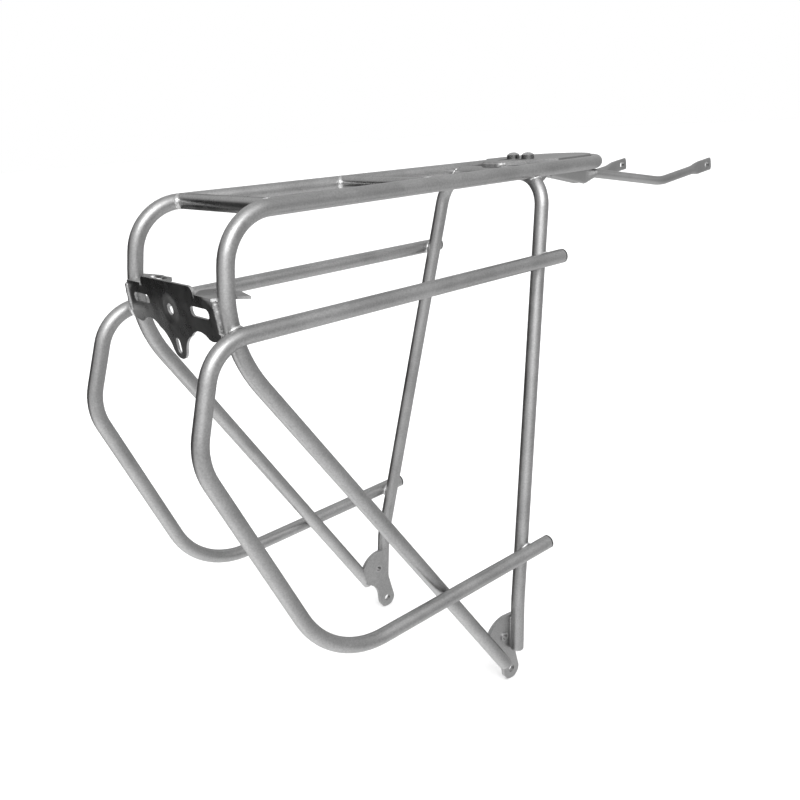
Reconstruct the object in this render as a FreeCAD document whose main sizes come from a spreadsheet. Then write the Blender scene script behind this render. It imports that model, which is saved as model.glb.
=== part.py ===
import FreeCAD, Part

import math
import os

from FreeCAD import Placement, Rotation, Vector

# Rear rack for a bicycle, in millimetres.
# Frame: +X towards the front of the bicycle, +Y to its left, +Z up.
# Origin: midway between the two lower dropout eyes, on the line through both.

# ---------------------------------------------------------------- driving sizes
DRIVING_SIZES = [
    ("tube_diameter", 10.0, "outside diameter of every frame tube"),
    ("tube_wall", 1.0, "wall of every frame tube"),
    ("platform_height", 362.5, "platform rail centre line above the dropout eyes"),
    ("rail_rear_reach", 185.9, "rear corner of the rails, behind the eyes"),
    ("rail_rear_half_width", 56.0, "half the spacing of the rails at the rear corner"),
    ("rail_rear_bend", 33.0, "bend radius from rail to post"),
    ("post_reach", 196.4, "lower post corner, behind the eyes"),
    ("post_half_width", 59.5, "half the spacing of the posts at the lower corner"),
    ("post_height", 292.0, "lower post corner above the eyes"),
    ("post_bend", 85.0, "bend radius from post to strut"),
    ("strut_end_reach", 10.4, "lower strut end, behind the eyes"),
    ("strut_half_width", 80.0, "half the spacing of the strut ends"),
    ("strut_end_height", 11.5, "lower strut end above the eyes"),
    ("left_strut_trim", 9.0, "how much shorter the left strut is cut"),
    ("bow_centre_reach", 131.6, "centre of the front bow, ahead of the eyes"),
    ("bow_radius", 39.6, "centre line radius of the front bow"),
    ("hoop_reach", 73.6, "cross bar of the leg hoop, ahead of the eyes"),
    ("hoop_height", 360.5, "cross bar of the leg hoop above the eyes"),
    ("hoop_half_width", 50.0, "half width of the leg hoop at its corners"),
    ("hoop_bend", 26.0, "bend radius of the hoop corners"),
    ("leg_kink_reach", 5.6, "kink of the legs, ahead of the eyes"),
    ("leg_kink_half_width", 79.5, "half the spacing of the legs at the kink"),
    ("leg_kink_height", 57.5, "kink of the legs above the eyes"),
    ("leg_end_reach", 2.1, "lower leg end, ahead of the eyes"),
    ("leg_end_half_width", 80.6, "half the spacing of the lower leg ends"),
    ("leg_end_height", 17.9, "lower leg end above the eyes"),
    ("leg_bend", 30.0, "bend radius at the kink of the legs"),
    ("cross_tube_rear_reach", 155.9, "rear cross tube, behind the eyes"),
    ("cross_tube_middle_reach", 31.9, "middle cross tube, behind the eyes"),
    ("dropout_thickness", 3.0, "thickness of the dropout plates"),
    ("dropout_half_gap", 75.0, "middle of a dropout plate from the centre plane"),
    ("eye_diameter", 5.5, "clearance hole for the M5 frame bolt"),
    ("mudguard_eye_reach", 6.9, "mudguard eye, behind the frame eye"),
    ("mudguard_eye_height", 31.2, "mudguard eye above the frame eye"),
    ("bush_diameter", 7.0, "outside diameter of the mudguard bush"),
    ("bush_length", 4.0, "length of the mudguard bush"),
    ("bush_bore", 4.3, "tapping bore of the mudguard bush, for M5"),
    ("bracket_thickness", 1.6, "sheet of the rear light bracket"),
    ("bracket_tilt", 5.7, "lean of the light bracket, lower edge forward, in degrees"),
    ("plate_thickness", 3.0, "sheet of the stay mounting plate"),
    ("bolt_reach", 104.1, "stay bolts, ahead of the eyes"),
    ("bolt_half_gap", 7.5, "half the spacing of the stay bolts"),
    ("bolt_diameter", 5.0, "shank of the stay bolts, M5"),
    ("bolt_head_diameter", 9.5, "domed head of the stay bolts"),
    ("bolt_head_height", 3.4, "height of the domed head"),
    ("bolt_dome_radius", 7.0, "radius of the dome on the head"),
    ("bolt_socket_width", 3.0, "width across flats of the hexagon socket"),
    ("washer_diameter", 10.0, "outside diameter of the washers"),
    ("washer_thickness", 1.2, "thickness of the washers"),
    ("washer_bore", 5.3, "hole in the washers"),
    ("nut_width", 8.0, "width across flats of the nuts, M5"),
    ("nut_height", 4.5, "height of the nuts"),
    ("slot_width", 5.4, "width of the two slots for the stay bolts"),
    ("slot_rear_travel", 14.0, "how far a stay bolt can slide back"),
    ("slot_front_travel", 2.0, "how far a stay bolt can slide forward"),
    ("stay_diameter", 7.0, "outside diameter of the stays"),
    ("stay_flat_thickness", 3.2, "thickness of the flattened stay ends"),
    ("stay_flat_width", 12.0, "width of the flattened inner end of a stay"),
    ("stay_tip_width", 10.4, "width of the flattened front end of a stay"),
    ("stay_clearance", 0.1, "play between a stay, its plate and its lower washer"),
    ("stay_eye_diameter", 6.0, "hole in the front end of a stay"),
    ("cap_flange", 1.2, "flange thickness of the pannier tube plugs"),
    ("cap_spigot", 8.0, "length of a plug inside its tube"),
]

doc = FreeCAD.newDocument("rear_rack")
sheet = doc.addObject("Spreadsheet::Sheet", "Sizes")
for row, (alias, value, meaning) in enumerate(DRIVING_SIZES, start=1):
    sheet.set("A%d" % row, meaning)
    sheet.set("B%d" % row, str(value))
    sheet.setAlias("B%d" % row, alias)
doc.recompute()


def size(alias):
    """Read one driving size from the sheet."""
    return float(sheet.get(alias))


tube_radius = size("tube_diameter") / 2
platform_height = size("platform_height")
centre_plane = (Vector(0, 0, 0), Vector(0, 1, 0))
sub_parts = []


# ---------------------------------------------------------------- shared geometry
def mirrored(shape):
    """The same shape on the other side of the bicycle."""
    return shape.mirror(*centre_plane)


def side_of(shape, side):
    """Right-hand shapes are modelled; the left-hand ones are their mirror image."""
    return shape if side == "right" else mirrored(shape)


def sign_of(side):
    """Right is -Y, left is +Y."""
    return -1 if side == "right" else 1


def bent_path(corners, radii):
    """A wire of straight runs joined by tangent arcs, one radius per inner corner."""
    edges = []
    start = corners[0]
    for before, corner, after, radius in zip(corners, corners[1:], corners[2:], radii):
        back = (before - corner).normalize()
        ahead = (after - corner).normalize()
        half_angle = back.getAngle(ahead) / 2
        trim = radius / math.tan(half_angle)
        middle_way = (back + ahead).normalize()
        arc_start = corner + back * trim
        arc_end = corner + ahead * trim
        arc_middle = corner + middle_way * (radius / math.sin(half_angle) - radius)
        edges.append(Part.LineSegment(start, arc_start).toShape())
        edges.append(Part.Arc(arc_start, arc_middle, arc_end).toShape())
        start = arc_end
    edges.append(Part.LineSegment(start, corners[-1]).toShape())
    return Part.Wire(edges)


def round_bar(path, radius):
    """A solid round bar along a path."""
    first_edge = path.Edges[0]
    start = first_edge.valueAt(first_edge.FirstParameter)
    direction = first_edge.tangentAt(first_edge.FirstParameter)
    section = Part.Wire(Part.makeCircle(radius, start, direction))
    return path.makePipeShell([section], True, True)


def hollow_tube(path):
    """A frame tube along a path, open at both ends."""
    return round_bar(path, tube_radius).cut(round_bar(path, tube_radius - size("tube_wall")))


def turned_to(direction):
    """The rotation that carries +Z onto a direction."""
    return Rotation(Vector(0, 0, 1), direction)


def add_feature(label, shape):
    """A sub-part whose shape no primitive or sketch gives, such as a bent tube."""
    feature = doc.addObject("Part::Feature", label)
    feature.Label = label
    feature.Shape = shape
    feature.Placement = Placement()
    sub_parts.append(feature)
    return feature


def add_sub_part(label, piece, placement):
    """Name and place a sub-part that is already an object of the document."""
    piece.Label = label
    piece.Placement = placement
    sub_parts.append(piece)
    return piece


def cylinder(name, radius_expression, height_expression):
    """A cylinder on +Z whose sizes follow the sheet."""
    piece = doc.addObject("Part::Cylinder", name)
    piece.setExpression("Radius", radius_expression)
    piece.setExpression("Height", height_expression)
    return piece


def boolean(kind, name, base, tool):
    """A cut, fuse or common of two objects of the document."""
    piece = doc.addObject("Part::" + kind, name)
    piece.Base = base
    piece.Tool = tool
    return piece


def pad_sketch(label, plane_role, loops, length_expression, placement):
    """A PartDesign body: one sketch of closed loops, padded half to each side of its plane."""
    body = doc.addObject("PartDesign::Body", label)
    plane = next(item for item in body.Origin.OriginFeatures if item.Role == plane_role)
    sketch = body.newObject("Sketcher::SketchObject", label + "_outline")
    sketch.AttachmentSupport = (plane, "")
    sketch.MapMode = "FlatFace"
    for loop in loops:
        sketch.addGeometry(loop, False)
    pad = body.newObject("PartDesign::Pad", label + "_pad")
    pad.Profile = sketch
    pad.SideType = "Symmetric"
    pad.setExpression("Length", length_expression)
    body.Tip = pad
    doc.recompute()
    return add_sub_part(label, body, placement)


def line(start, end):
    """A straight sketch edge between two (x, y) points."""
    return Part.LineSegment(Vector(*start, 0), Vector(*end, 0))


def arc(start, middle, end):
    """A round sketch edge through three (x, y) points."""
    return Part.Arc(Vector(*start, 0), Vector(*middle, 0), Vector(*end, 0))


def circle(centre, radius):
    """A full sketch circle."""
    return Part.Circle(Vector(*centre, 0), Vector(0, 0, 1), radius)


def slot(centre, length, width, along_x=True):
    """The closed outline of a slot with round ends, as a list of edges."""
    radius = width / 2
    reach = length / 2 - radius
    outline = [
        line((-reach, radius), (reach, radius)),
        arc((reach, radius), (reach + radius, 0), (reach, -radius)),
        line((reach, -radius), (-reach, -radius)),
        arc((-reach, -radius), (-reach - radius, 0), (-reach, radius)),
    ]
    for edge in outline:
        if not along_x:
            edge.rotate(Placement(Vector(0, 0, 0), Rotation(Vector(0, 0, 1), 90)))
        edge.translate(Vector(*centre, 0))
    return outline


def closed_face(edges):
    """The flat face inside a closed outline of edges, given in any order."""
    return Part.Face(Part.Wire(Part.__sortEdges__([edge.toShape() for edge in edges])))


# ---------------------------------------------------------------- frame tubes
def rail_tangent_point():
    """Where the right rail runs into the front bow, as (x, y) with y positive outwards."""
    rear_x = -size("rail_rear_reach")
    rear_y = size("rail_rear_half_width")
    centre_x = size("bow_centre_reach")
    radius = size("bow_radius")
    distance = math.hypot(centre_x - rear_x, rear_y)
    to_rear = math.atan2(rear_y, rear_x - centre_x)
    angle = to_rear - math.acos(radius / distance)
    return centre_x + radius * math.cos(angle), radius * math.sin(angle)


def rail_half_width(x):
    """Distance of a rail's centre line from the centre plane at a station x."""
    tangent_x, tangent_y = rail_tangent_point()
    rear_x = -size("rail_rear_reach")
    rear_y = size("rail_rear_half_width")
    return rear_y + (tangent_y - rear_y) * (x - rear_x) / (tangent_x - rear_x)


def side_tube_path(trim=0.0):
    """Right rail, rear bend, post, lower bend and strut, cut short by trim: one bent tube."""
    tangent_x, tangent_y = rail_tangent_point()
    corners = [
        Vector(tangent_x, -tangent_y, platform_height),
        Vector(-size("rail_rear_reach"), -size("rail_rear_half_width"), platform_height),
        Vector(-size("post_reach"), -size("post_half_width"), size("post_height")),
        Vector(-size("strut_end_reach"), -size("strut_half_width"), size("strut_end_height")),
    ]
    strut_way = (corners[2] - corners[3]).normalize()
    corners[3] += strut_way * trim
    return bent_path(corners, [size("rail_rear_bend"), size("post_bend")])


def bow_path():
    """The round nose that joins the two rails."""
    tangent_x, tangent_y = rail_tangent_point()
    nose = Vector(size("bow_centre_reach") + size("bow_radius"), 0, platform_height)
    right_end = Vector(tangent_x, -tangent_y, platform_height)
    left_end = Vector(tangent_x, tangent_y, platform_height)
    return Part.Wire([Part.Arc(right_end, nose, left_end).toShape()])


def hoop_path():
    """Left leg, cross bar under the platform and right leg: one bent tube."""
    right_side = [
        Vector(size("hoop_reach"), -size("hoop_half_width"), size("hoop_height")),
        Vector(size("leg_kink_reach"), -size("leg_kink_half_width"), size("leg_kink_height")),
        Vector(size("leg_end_reach"), -size("leg_end_half_width"), size("leg_end_height")),
    ]
    left_side = [Vector(corner.x, -corner.y, corner.z) for corner in reversed(right_side)]
    radii = [size("leg_bend"), size("hoop_bend"), size("hoop_bend"), size("leg_bend")]
    return bent_path(left_side + right_side, radii)


# Corners of the right pannier tube from its upper front end round to its lower front end.
PANNIER_CORNERS = [
    Vector(73.6, -65.6, 303.0),
    Vector(-209.9, -69.2, 298.0),
    Vector(-228.9, -72.6, 237.0),
    Vector(-165.4, -85.0, 88.5),
    Vector(31.6, -86.0, 98.5),
]
PANNIER_BENDS = [29.0, 40.0, 58.0]


def outer_shape(path):
    """The outside of a tube, filled, for shaping what is welded to it."""
    return round_bar(path, tube_radius)


right_side_outer = outer_shape(side_tube_path())
side_outers = right_side_outer.fuse(mirrored(right_side_outer))


def dropout_outline():
    """The closed outline of a dropout plate, as edges through (x, height) points."""
    finger = 7.8
    front_x = 3.2
    waist = (-8.4, 7.5)
    notch = (-20.4, 20.2)
    shoulder_rear = (-23.2, 35.5)
    shoulder_middle = (-16.2, 43.8)
    shoulder_top = (-5.6, 47.2)
    front_top = (front_x, 46.6)
    front_bottom = (front_x, 20.0)
    return [
        line(notch, shoulder_rear),
        arc(shoulder_rear, shoulder_middle, shoulder_top),
        line(shoulder_top, front_top),
        line(front_top, front_bottom),
        line(front_bottom, (finger, 0.0)),
        arc((finger, 0.0), (0.0, -finger), (-finger, 0.0)),
        line((-finger, 0.0), waist),
        arc(waist, (-11.8, 14.6), notch),
    ]


def inboard_block(side):
    """A dropout plate and the space inboard of it, for notching the tube ends welded to it."""
    outer_face = size("dropout_half_gap") + size("dropout_thickness") / 2
    depth = 10.0
    block = closed_face(dropout_outline()).extrude(Vector(0, 0, depth))
    # sketch (x, y, z) goes to rack (X, Z, -Y)
    block.Placement = Placement(Vector(0, -outer_face + depth, 0), Rotation(Vector(1, 0, 0), 90))
    return block if side == "right" else mirrored(block)


def make_side_tubes():
    """Both side tubes, notched flat where they lap the dropout plates."""
    trims = {"right": 0.0, "left": size("left_strut_trim")}
    for side, trim in trims.items():
        tube = side_of(hollow_tube(side_tube_path(trim)), side)
        add_feature(side + "_side_tube", tube.cut(inboard_block(side)))


def make_front_bow():
    """The bow between the rails, butt-joined to both."""
    add_feature("front_bow", hollow_tube(bow_path()))


# Rounding and closing wall of the lower leg ends.
LEG_END_ROUNDING = 2.2
LEG_END_SKIN = 1.5
# Side of a block larger than the whole rack.
BEYOND_RACK = 400.0


def make_leg_hoop():
    """The leg hoop, saddled to the rails, with closed and rounded lower ends."""
    path = hoop_path()
    outer = round_bar(path, tube_radius)
    foot_height = size("leg_end_height") + LEG_END_SKIN
    foot_edges = [edge for edge in outer.Edges if edge.BoundBox.ZMax < foot_height]
    outer = outer.makeFillet(LEG_END_ROUNDING, foot_edges)
    low_corner = Vector(-BEYOND_RACK / 2, -BEYOND_RACK / 2, foot_height)
    above_feet = Part.makeBox(BEYOND_RACK, BEYOND_RACK, BEYOND_RACK, low_corner)
    bore = round_bar(path, tube_radius - size("tube_wall")).common(above_feet)
    hoop = outer.cut(bore).cut(side_outers)
    for side in ("right", "left"):
        hoop = hoop.cut(inboard_block(side))
    add_feature("leg_hoop", hoop)


def make_pannier_tubes():
    """Both pannier tubes, lying against the outside of the posts and legs."""
    path = bent_path(PANNIER_CORNERS, PANNIER_BENDS)
    tube = hollow_tube(path)
    neighbours = right_side_outer.fuse(outer_shape(hoop_path()))
    tube = tube.cut(neighbours)
    for side in ("right", "left"):
        add_feature(side + "_pannier_tube", side_of(tube, side))


def make_cross_tubes():
    """Straight cross tubes, saddled between the rails."""
    stations = {
        "rear_cross_tube": -size("cross_tube_rear_reach"),
        "middle_cross_tube": -size("cross_tube_middle_reach"),
    }
    for label, x in stations.items():
        half_width = rail_half_width(x)
        ends = [Vector(x, -half_width, platform_height), Vector(x, half_width, platform_height)]
        path = Part.Wire([Part.LineSegment(*ends).toShape()])
        add_feature(label, hollow_tube(path).cut(side_outers))


def make_tube_plugs():
    """Plugs in the four open ends of the pannier tubes."""
    places = {
        "upper": (PANNIER_CORNERS[0], PANNIER_CORNERS[0] - PANNIER_CORNERS[1]),
        "lower": (PANNIER_CORNERS[-1], PANNIER_CORNERS[-1] - PANNIER_CORNERS[-2]),
    }
    for side in ("right", "left"):
        for level, (end, outward) in places.items():
            label = "%s_%s_plug" % (side, level)
            flange = cylinder(label + "_flange", "Sizes.tube_diameter / 2", "Sizes.cap_flange")
            spigot = cylinder(
                label + "_spigot",
                "Sizes.tube_diameter / 2 - Sizes.tube_wall",
                "Sizes.cap_spigot + Sizes.cap_flange",
            )
            spigot.setExpression("Placement.Base.z", "-Sizes.cap_spigot")
            plug = boolean("Fuse", label + "_body", flange, spigot)
            across = -sign_of(side)
            place = Vector(end.x, end.y * across, end.z)
            facing = Vector(outward.x, outward.y * across, outward.z)
            add_sub_part(label, plug, Placement(place, turned_to(facing)))


# ---------------------------------------------------------------- sheet pieces
def make_dropouts():
    """Dropout plates: a round shoulder for the mudguard eye and a finger with the frame eye."""
    eye_centre = (-size("mudguard_eye_reach"), size("mudguard_eye_height"))
    holes = [circle((0.0, 0.0), size("eye_diameter") / 2), circle(eye_centre, size("bush_diameter") / 2)]
    for side in ("right", "left"):
        place = Placement(Vector(0, sign_of(side) * size("dropout_half_gap"), 0), Rotation())
        loops = [dropout_outline(), holes]
        pad_sketch(side + "_dropout", "XZ_Plane", loops, "Sizes.dropout_thickness", place)


def make_mudguard_bushes():
    """Threaded bushes in the round shoulders of the dropouts, flush inside and proud outside."""
    for side in ("right", "left"):
        label = side + "_mudguard_bush"
        sleeve = cylinder(label + "_sleeve", "Sizes.bush_diameter / 2", "Sizes.bush_length")
        bore = cylinder(label + "_bore", "Sizes.bush_bore / 2", "Sizes.bush_length")
        bush = boolean("Cut", label + "_body", sleeve, bore)
        inner_face = size("dropout_half_gap") - size("dropout_thickness") / 2
        start_y = sign_of(side) * inner_face
        place = Vector(-size("mudguard_eye_reach"), start_y, size("mudguard_eye_height"))
        outward = Vector(0, sign_of(side), 0)
        add_sub_part(label, bush, Placement(place, turned_to(outward)))


def make_mounting_plate():
    """Plate in the front bow, with a narrow tail on the hoop and two slots for the stay bolts."""
    centre_x = size("bow_centre_reach")
    edge_inset = 4.0
    radius = size("bow_radius") - edge_inset
    tangent_x, tangent_y = rail_tangent_point()
    scale = radius / size("bow_radius")
    front_x = centre_x + (tangent_x - centre_x) * scale
    front_y = tangent_y * scale
    shoulder_x = size("bolt_reach") + 1.0
    shoulder_y = rail_half_width(shoulder_x) - edge_inset
    tail_x = size("hoop_reach") - 1.0
    tail_y = 9.0
    outline = [
        arc((front_x, -front_y), (centre_x + radius, 0), (front_x, front_y)),
        line((front_x, front_y), (shoulder_x, shoulder_y)),
        line((shoulder_x, shoulder_y), (tail_x, tail_y)),
        line((tail_x, tail_y), (tail_x, -tail_y)),
        line((tail_x, -tail_y), (shoulder_x, -shoulder_y)),
        line((shoulder_x, -shoulder_y), (front_x, -front_y)),
    ]
    travel = size("slot_rear_travel") + size("slot_front_travel")
    slot_x = size("bolt_reach") + (size("slot_front_travel") - size("slot_rear_travel")) / 2
    loops = [outline]
    for side in ("right", "left"):
        slot_y = sign_of(side) * size("bolt_half_gap")
        loops.append(slot((slot_x, slot_y), travel + size("slot_width"), size("slot_width")))
    underside = size("hoop_height") + tube_radius
    middle = Placement(Vector(0, 0, underside + size("plate_thickness") / 2), Rotation())
    pad_sketch("stay_mounting_plate", "XY_Plane", loops, "Sizes.plate_thickness", middle)


# Height of the light bracket's wings above its middle: the ears fold forward from there.
WING_TOP = 6.0


def bracket_sheet():
    """The upright sheet of the light bracket in its own plane: (y, height) about its middle."""
    top = 10.5
    wing_half = 57.5
    wing_taper = 3.0
    centre_half = 33.7
    corner = 4.0
    relief = 1.2
    relief_bottom = 3.6
    # the right half: along the top, over the relief cut and the wing, then round under
    # the wing and the arch beside it to the foot of the middle tongue
    right = [
        line((0.0, top), (centre_half - corner, top)),
        arc(
            (centre_half - corner, top),
            (centre_half - corner * (1 - math.sqrt(0.5)), top - corner * (1 - math.sqrt(0.5))),
            (centre_half, top - corner),
        ),
        line((centre_half, top - corner), (centre_half, relief_bottom)),
        line((centre_half, relief_bottom), (centre_half + relief, relief_bottom)),
        line((centre_half + relief, relief_bottom), (centre_half + relief, WING_TOP)),
        line((centre_half + relief, WING_TOP), (wing_half - wing_taper, WING_TOP)),
        line((wing_half - wing_taper, WING_TOP), (wing_half, -10.0)),
        line((wing_half, -10.0), (wing_half, -14.0)),
        arc((wing_half, -14.0), (55.0, -17.5), (50.0, -19.2)),
        arc((50.0, -19.2), (46.0, -19.8), (42.0, -19.0)),
        arc((42.0, -19.0), (32.0, -15.8), (20.5, -20.2)),
        arc((20.5, -20.2), (12.6, -25.2), (8.6, -31.5)),
        arc((8.6, -31.5), (5.8, -35.7), (0.0, -37.5)),
    ]
    left = []
    for edge in right:
        copy = edge.copy()
        copy.mirror(Vector(0, 0, 0), Vector(0, 1, 0))
        left.append(copy)
    sheet_face = closed_face(right + left)
    window_y = 37.6
    window_height = -4.0
    window_size = (21.5, 6.2)
    lamp_hole_height = -6.5
    lamp_hole_radius = 3.6
    tongue_slot_height = -29.3
    tongue_slot_size = (10.0, 5.4)
    holes = [
        slot((-window_y, window_height), *window_size),
        slot((window_y, window_height), *window_size),
        [circle((0.0, lamp_hole_height), lamp_hole_radius)],
        slot((0.0, tongue_slot_height), *tongue_slot_size, along_x=False),
    ]
    for hole in holes:
        sheet_face = sheet_face.cut(closed_face(hole))
    return sheet_face.Faces[0]


def bracket_ear(thickness):
    """The left ear folded forward from a wing of the light bracket, with its strap slot."""
    neck_inner = (-199.9, 35.5)
    neck_outer = (-199.9, 54.5)
    inner_corner = (-191.1, 25.0)
    shoulder = (-179.1, 41.0)
    front_corner = (-178.1, 50.0)
    tip = (-182.3, 67.3)
    heel = (-189.5, 58.0)
    outline = [
        line(neck_inner, inner_corner),
        arc(inner_corner, (-182.4, 28.5), shoulder),
        line(shoulder, front_corner),
        line(front_corner, tip),
        line(tip, heel),
        line(heel, neck_outer),
        line(neck_outer, neck_inner),
    ]
    strap_slot = slot((-184.4, 43.0), 20.0, 6.0, along_x=False)
    ear = closed_face(outline).cut(closed_face(strap_slot))
    return ear.extrude(Vector(0, 0, thickness))


def make_light_bracket():
    """Sheet bracket between the posts: upright plate, two ears folded forward."""
    thickness = size("bracket_thickness")
    middle = Vector(-199.2, 0, 312.7)
    upright = bracket_sheet().extrude(Vector(0, 0, thickness))
    # sheet (x, y, z) goes to rack (Y, Z, X)
    standing = Rotation(Vector(0, 1, 0), Vector(0, 0, 1), Vector(1, 0, 0))
    upright.Placement = Placement(Vector(0, 0, 0), standing)
    lean = Placement(middle, Rotation(Vector(0, 1, 0), -size("bracket_tilt")))
    upright = upright.transformed(lean.toMatrix())
    ear = bracket_ear(thickness)
    fold_height = middle.z + WING_TOP - thickness
    ear.translate(Vector(0, 0, fold_height))
    bracket = upright.fuse([ear, mirrored(ear)]).cut(side_outers)
    add_feature("light_bracket", max(bracket.Solids, key=lambda solid: solid.Volume))


# ---------------------------------------------------------------- stays
def flat_section(centre, direction, half_width, half_thickness, roll):
    """A closed section of a flattened tube, square to its run, rolled about it in degrees."""
    side_way = direction.cross(Vector(0, 0, 1)).normalize()
    up_way = side_way.cross(direction).normalize()
    turn = Rotation(direction, roll)
    wide = turn.multVec(side_way)
    thick = turn.multVec(up_way)
    squareness = 2.0 + 1.6 * (1.0 - half_thickness / half_width)
    points = []
    count = 16
    for step in range(count):
        angle = 2 * math.pi * step / count
        along = math.copysign(abs(math.cos(angle)) ** (2 / squareness), math.cos(angle))
        across = math.copysign(abs(math.sin(angle)) ** (2 / squareness), math.sin(angle))
        points.append(centre + wide * (half_width * along) + thick * (half_thickness * across))
    curve = Part.BSplineCurve()
    curve.interpolate(points, PeriodicFlag=True)
    return Part.Wire([curve.toShape()])


# Steps over which a stay turns from its flat pad to its upright blade,
# over which a flattened end widens out of the round tube, and round its elbow.
TWIST_STEPS = 8
SHOULDER_STEPS = 4
ELBOW_STEPS = 8
# How far the round pad under the bolt stands out beyond the strip, sideways and in thickness.
PAD_FLARE = 0.4
PAD_PROUD = 0.05


def lofted(sections):
    """A closed solid through sections, turned the right way out."""
    solid = Part.makeLoft(sections, True, True)
    if solid.Volume < 0:
        solid.reverse()
    return solid


def shoulder_sections(flat_place, round_place, direction, flat_half):
    """Upright sections from a flattened end to the round tube, easing in and out."""
    round_half = size("stay_diameter") / 2
    thin_half = size("stay_flat_thickness") / 2
    sections = []
    for step in range(SHOULDER_STEPS + 1):
        part_way = step / SHOULDER_STEPS
        eased = part_way * part_way * (3 - 2 * part_way)
        place = flat_place + (round_place - flat_place) * part_way
        half_width = flat_half + (round_half - flat_half) * eased
        half_thickness = thin_half + (round_half - thin_half) * eased
        sections.append(flat_section(place, direction, half_width, half_thickness, 90))
    return sections


def elbow_sections(before, corner, after, radius):
    """Round sections through a bend of the given centre line radius."""
    round_half = size("stay_diameter") / 2
    bend = bent_path([before, corner, after], [radius]).Edges[1]
    start = bend.FirstParameter
    sweep = bend.LastParameter - bend.FirstParameter
    sections = []
    for step in range(ELBOW_STEPS + 1):
        along = start + sweep * step / ELBOW_STEPS
        place = bend.valueAt(along)
        direction = bend.tangentAt(along)
        sections.append(flat_section(place, direction, round_half, round_half, 90))
    return sections


def stay_shape():
    """The right stay: pad under the plate, twist, upright blade, round run, flat tip with an eye."""
    flat_half = size("stay_flat_width") / 2
    tip_half = size("stay_tip_width") / 2
    thin_half = size("stay_flat_thickness") / 2
    plate_underside = size("hoop_height") + tube_radius
    pad_height = plate_underside - thin_half - size("stay_clearance") - PAD_PROUD
    bolt = Vector(size("bolt_reach"), -size("bolt_half_gap"), pad_height)
    blade_start = Vector(124.1, -13.6, pad_height - 6.5)
    blade_end = Vector(153.1, -22.7, pad_height - 12.4)
    round_start = Vector(162.1, -25.5, pad_height - 11.0)
    elbow = Vector(223.6, -44.2, 341.3)
    tip_eye = Vector(289.1, -44.2, 348.8)
    elbow_radius = 30.0
    pad_reach = 8.5
    flat_behind_eye = 11.0
    flat_past_eye = 6.2
    shoulder_length = 12.0
    outward = (elbow - round_start).normalize()
    forward = (tip_eye - elbow).normalize()
    tip_flat = tip_eye - forward * flat_behind_eye
    tip_root = tip_flat - forward * shoulder_length
    tip_end = tip_eye + forward * flat_past_eye
    pad_way = Vector(outward.x, outward.y, 0).normalize()
    pad_front = bolt + pad_way * pad_reach

    sections = [flat_section(bolt, pad_way, flat_half, thin_half, 0)]
    for step in range(TWIST_STEPS + 1):
        part_way = step / TWIST_STEPS
        roll = math.radians(90 * part_way)
        place = pad_front + (blade_start - pad_front) * part_way
        # the upper edge of the twisting strip stays just under the mounting plate
        depth = flat_half * math.sin(roll) + thin_half * math.cos(roll)
        place.z = plate_underside - 2 * size("stay_clearance") - depth
        if step == 0:
            place.z = pad_height
        sections.append(flat_section(place, pad_way, flat_half, thin_half, 90 * part_way))
    sections += shoulder_sections(blade_end, round_start, outward, flat_half)
    sections += elbow_sections(round_start, elbow, tip_root, elbow_radius)
    sections += reversed(shoulder_sections(tip_flat, tip_root, forward, tip_half))
    sections.append(flat_section(tip_end, forward, tip_half, thin_half, 90))

    pad_end = Part.makeCylinder(
        flat_half + PAD_FLARE, 2 * (thin_half + PAD_PROUD), bolt - Vector(0, 0, thin_half + PAD_PROUD)
    )
    stay = lofted(sections).fuse(pad_end)
    bolt_hole = Part.makeCylinder(size("slot_width") / 2, 20, bolt - Vector(0, 0, 10))
    eye = Part.makeCylinder(size("stay_eye_diameter") / 2, 20, tip_eye - Vector(0, 10, 0), Vector(0, 1, 0))
    return stay.cut(bolt_hole).cut(eye)


def make_stays():
    """Both stays, from the mounting plate forward to the seat stays."""
    stay = stay_shape()
    for side in ("right", "left"):
        add_feature(side + "_stay", side_of(stay, side))


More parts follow.
